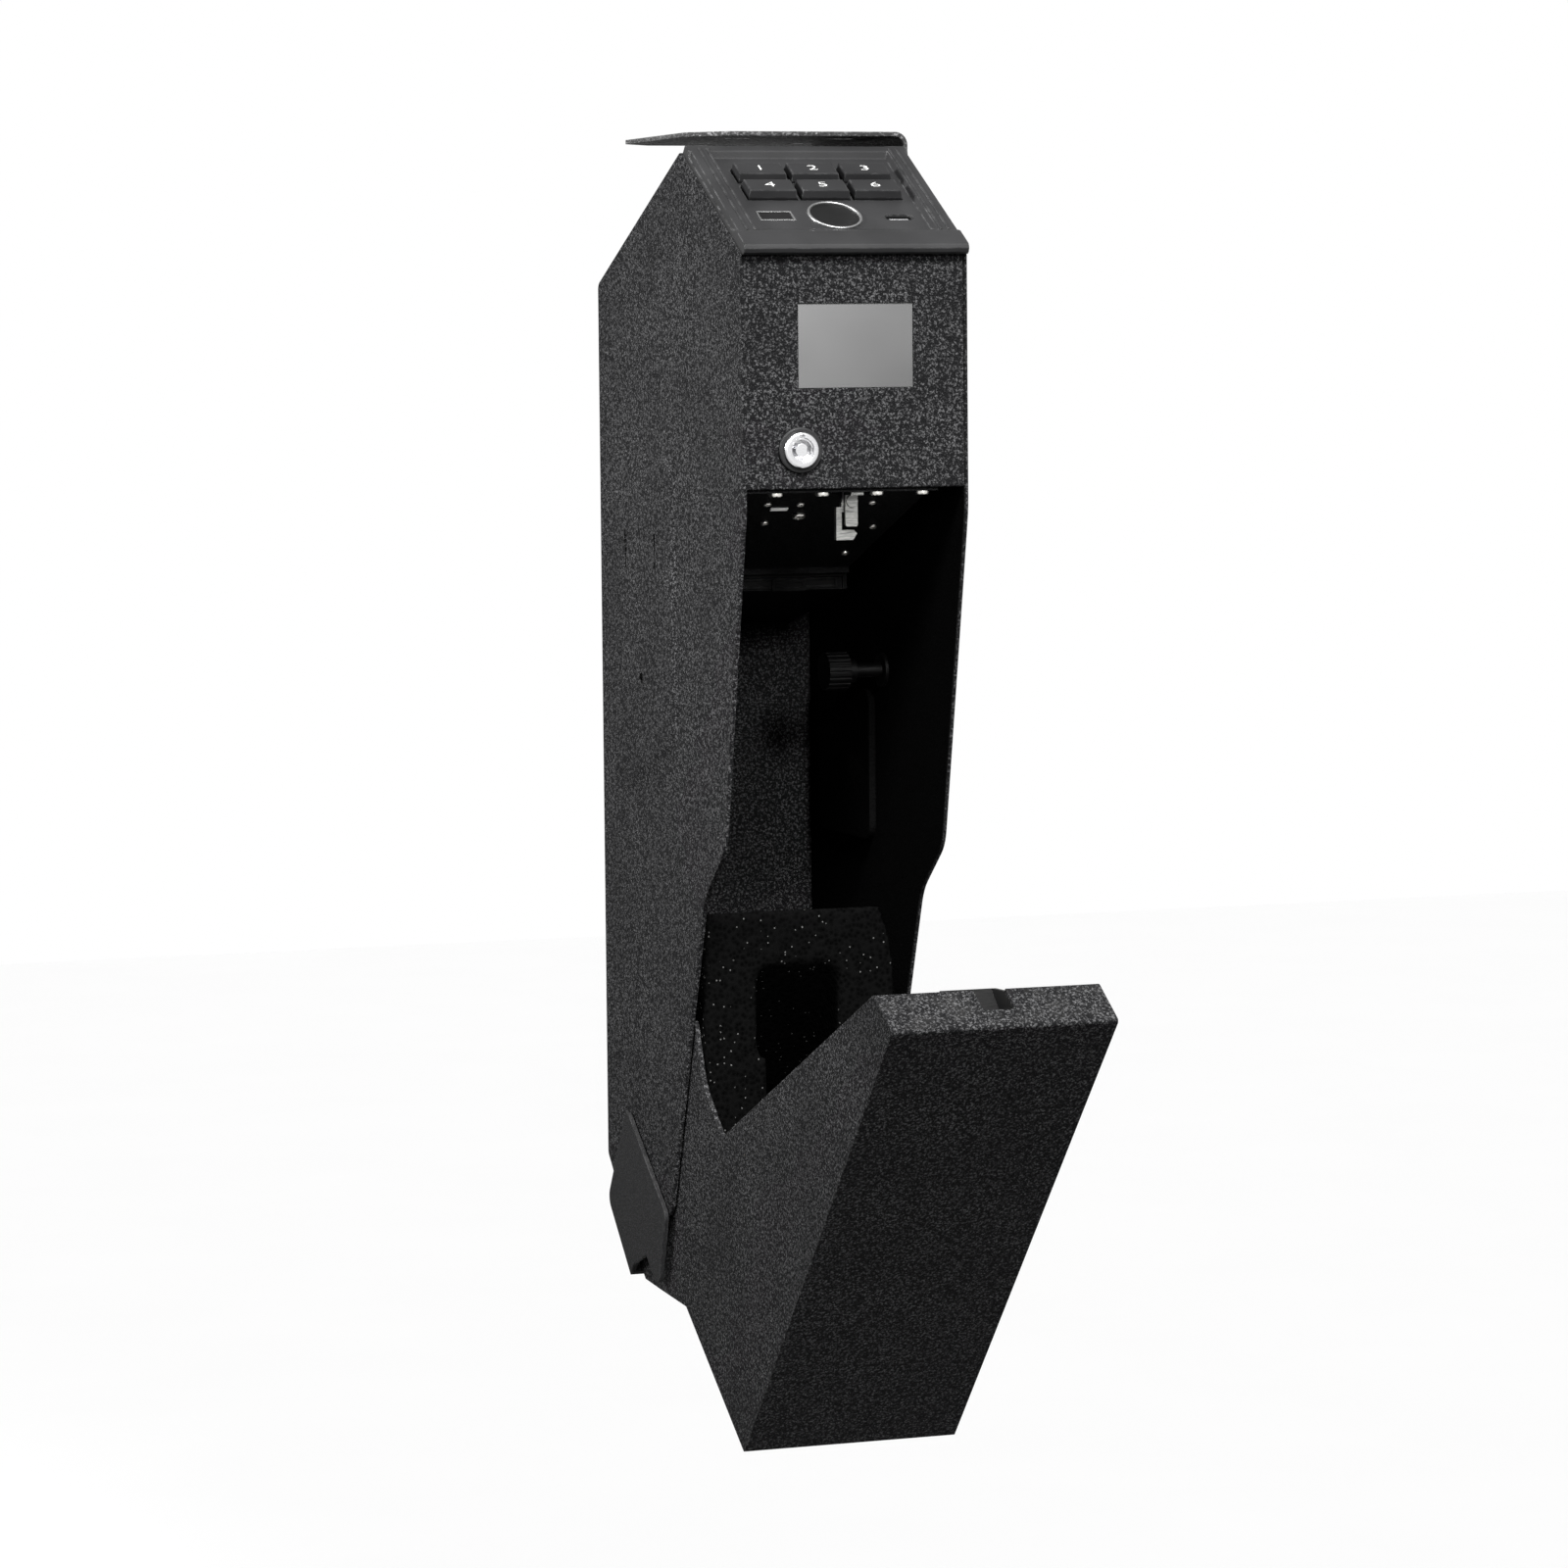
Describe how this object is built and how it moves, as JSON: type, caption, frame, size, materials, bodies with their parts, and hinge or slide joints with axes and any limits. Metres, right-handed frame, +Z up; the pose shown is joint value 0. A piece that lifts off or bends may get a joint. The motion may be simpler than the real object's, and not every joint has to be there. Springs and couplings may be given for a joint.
{
  "type": "quick-access wall safe",
  "caption": "Tall narrow steel wall safe with a sloping keypad deck and a deep door tub that drops open on foam.",
  "frame": {"origin": "centre of the wall bolt pattern, on the outer face of the mounting bracket leg at the right side", "axes": "+X out of the right side into the wall, -Y out of the front face, +Z up"},
  "size_m": [0.0838, 0.2919, 0.4456],
  "materials": {
    "powder_coat": "coarse sand-textured black powder coat",
    "black_steel": "fine black coat on sheet steel",
    "black_plastic": "fine moulded texture",
    "key_plastic": "satin moulded caps with pale numerals",
    "display_grey": "grey display window, switched off",
    "dark_glass": "dark smoked lens",
    "chrome": "polished plating",
    "nickel": "bright nickel plating",
    "steel": "zinc-plated steel",
    "bronze": "oiled bronze",
    "circuit_board": "solder mask",
    "rubber": "matte rubber",
    "foam": "firm charcoal foam with pale flecks",
    "light_lens": "milky lens",
    "cell_wrap": "plain dark wrap"
  },
  "bodies": {
    "case": {"left_side_panel": "powder_coat", "right_side_panel": "powder_coat", "front_panel": "powder_coat", "rear_cover": "powder_coat", "electronics_tray": "black_steel", "tray_screws": "nickel", "interior_light": "light_lens", "display_window": "display_grey", "display_module": "circuit_board", "main_board": "circuit_board", "board_screws": "steel", "main_chip": "circuit_board", "buzzer": "black_plastic", "lock_collar": "black_plastic", "lock_body": "chrome", "lock_nut": "steel", "keypad_bezel": "black_plastic", "key_membrane": "rubber", "keypad_board": "circuit_board", "fingerprint_sensor": "dark_glass", "sensor_ring": "chrome", "status_window_frame": "chrome", "status_window": "dark_glass", "power_port": "black_plastic", "port_tongue": "chrome", "battery_box": "black_plastic", "battery_cells": "cell_wrap", "battery_contacts": "nickel", "latch_strap": "nickel", "latch_pivot_pin": "nickel", "release_solenoid": "steel", "hinge_bushes": "bronze", "rear_tie_bar": "powder_coat", "door_bumpers": "rubber", "door_springs": "steel", "mounting_bracket": "powder_coat", "thumb_washer": "steel"},
    "door": {"door_tub": "powder_coat", "foam_insert": "foam", "striker": "nickel", "striker_bracket": "black_steel", "striker_rivets": "steel", "hinge_cradle": "black_steel", "hinge_rod": "steel"},
    "lock_plug": {"lock_plug": "chrome", "lock_cam": "steel", "cam_screw": "steel"},
    "latch_hook": {"latch_hook": "nickel"},
    "plunger": {"solenoid_plunger": "steel"},
    "battery_lid": {"battery_lid": "black_plastic"},
    "thumb_screw": {"thumb_screw": "steel"},
    "key_1": {"key_1": "key_plastic"},
    "key_2": {"key_2": "key_plastic"},
    "key_3": {"key_3": "key_plastic"},
    "key_4": {"key_4": "key_plastic"},
    "key_5": {"key_5": "key_plastic"},
    "key_6": {"key_6": "key_plastic"}
  },
  "joints": [
    {"name": "door_hinge", "type": "hinge", "parent": "case", "child": "door", "pos_m": [-0.0415, 0.0263, -0.1554], "axis": [1, 0, 0], "range_deg": [-42.5, 0]},
    {"name": "key_1_press", "type": "slide", "parent": "case", "child": "key_1", "axis": [0, 0.4933, -0.8699], "range_m": [0, 0.0008], "stiffness_N_per_m": 400},
    {"name": "key_2_press", "type": "slide", "parent": "case", "child": "key_2", "axis": [0, 0.4933, -0.8699], "range_m": [0, 0.0008], "stiffness_N_per_m": 400},
    {"name": "key_3_press", "type": "slide", "parent": "case", "child": "key_3", "axis": [0, 0.4933, -0.8699], "range_m": [0, 0.0008], "stiffness_N_per_m": 400},
    {"name": "key_4_press", "type": "slide", "parent": "case", "child": "key_4", "axis": [0, 0.4933, -0.8699], "range_m": [0, 0.0008], "stiffness_N_per_m": 400},
    {"name": "key_5_press", "type": "slide", "parent": "case", "child": "key_5", "axis": [0, 0.4933, -0.8699], "range_m": [0, 0.0008], "stiffness_N_per_m": 400},
    {"name": "key_6_press", "type": "slide", "parent": "case", "child": "key_6", "axis": [0, 0.4933, -0.8699], "range_m": [0, 0.0008], "stiffness_N_per_m": 400},
    {"name": "lock_turn", "type": "hinge", "parent": "case", "child": "lock_plug", "pos_m": [-0.0612, -0.107, 0.113], "axis": [0, 1, 0], "range_deg": [-90, 0]},
    {"name": "latch_swing", "type": "hinge", "parent": "case", "child": "latch_hook", "pos_m": [-0.0398, -0.1025, 0.0955], "axis": [0, 1, 0], "range_deg": [0, 15]},
    {"name": "plunger_slide", "type": "slide", "parent": "case", "child": "plunger", "axis": [1, 0, 0], "range_m": [0, 0.003]},
    {"name": "battery_lid_hinge", "type": "hinge", "parent": "case", "child": "battery_lid", "pos_m": [-0.0415, 0.037, 0.0489], "axis": [1, 0, 0], "range_deg": [0, 75]},
    {"name": "thumb_screw_turn", "type": "hinge", "parent": "case", "child": "thumb_screw", "pos_m": [-0.0115, -0.035, 0.034], "axis": [1, 0, 0], "continuous": true}
  ],
  "couplings": [
    {"joint": "plunger_slide", "follows": "latch_swing", "m_per_rad": 0.0107}
  ]
}
